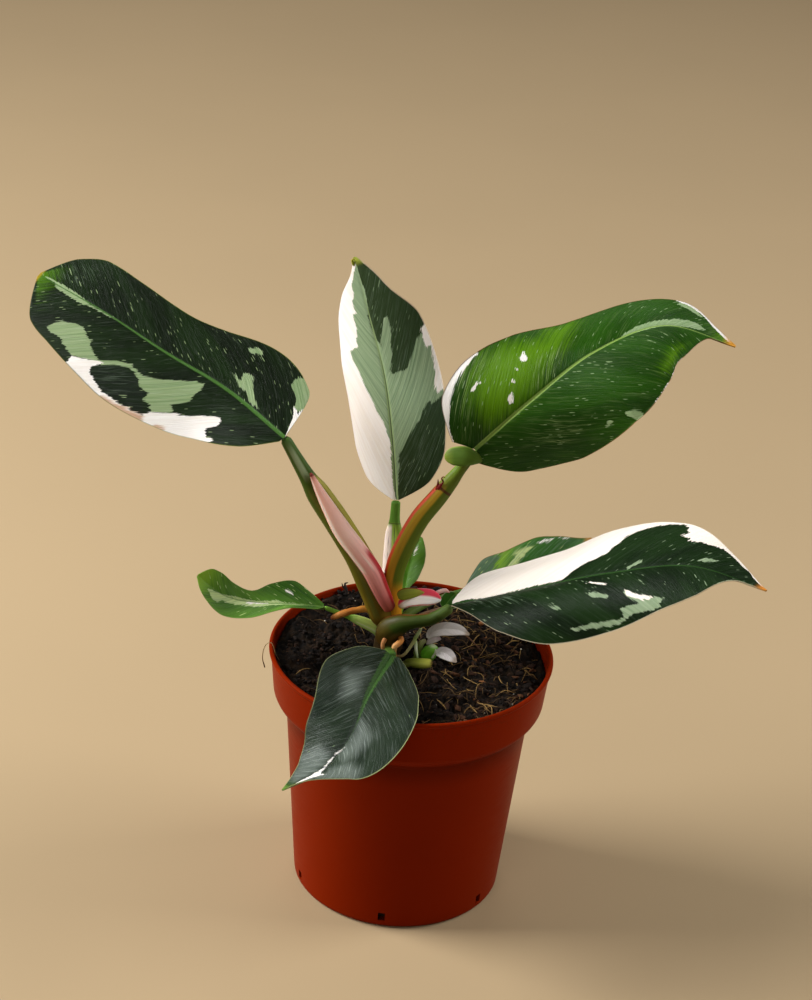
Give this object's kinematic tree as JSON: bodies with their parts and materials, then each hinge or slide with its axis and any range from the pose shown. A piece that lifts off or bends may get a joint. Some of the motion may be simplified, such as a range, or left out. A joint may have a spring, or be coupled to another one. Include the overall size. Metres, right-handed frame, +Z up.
{
  "type": "potted white princess philodendron",
  "caption": "Potted philodendron with glossy green and white variegated leaves on sheathed petioles, rooted in soil in a round plastic nursery pot.",
  "frame": {"origin": "middle of the flat pad under the pot", "axes": "+Z up, -Y to the front, where the lowest leaf hangs over the rim, +X to the right of that front"},
  "size_m": [0.3052, 0.1648, 0.263],
  "materials": {
    "pot_plastic": "satin moulded polypropylene, terracotta orange",
    "potting_mix": "rough damp peat and coir",
    "bark": "rough",
    "stem": "satin",
    "leaf": "glossy leaf with sage, cream and white sectors",
    "pup_leaf": "satin white leaf",
    "petiole": "satin olive green with red margins",
    "blush": "satin pink",
    "shoot": "satin light green",
    "root": "matt"
  },
  "bodies": {
    "root": {"pot": "pot_plastic", "soil": "potting_mix", "bark_piece": "bark", "dry_stalk": "bark", "stem": "stem", "leaf_upper_left": "leaf", "leaf_centre": "leaf", "leaf_upper_right": "leaf", "leaf_right": "leaf", "leaf_front": "leaf", "leaf_left": "leaf", "leaf_back_right": "leaf", "leaf_back_small": "leaf", "leaf_base_right": "leaf", "pup_leaf_back": "pup_leaf", "pup_leaf_front": "pup_leaf", "petiole_upper_left": "petiole", "petiole_centre": "petiole", "petiole_upper_right": "petiole", "petiole_right": "petiole", "petiole_front": "petiole", "petiole_left": "petiole", "petiole_back_right": "petiole", "petiole_back_small": "petiole", "petiole_base_right": "petiole", "new_leaf": "blush", "sheath_right": "blush", "lobe_upper_right": "shoot", "pup_shoot": "shoot", "pup_bud": "shoot", "pup_stub": "shoot", "root_left": "root", "root_front": "root", "root_side": "root"}
  },
  "joints": []
}
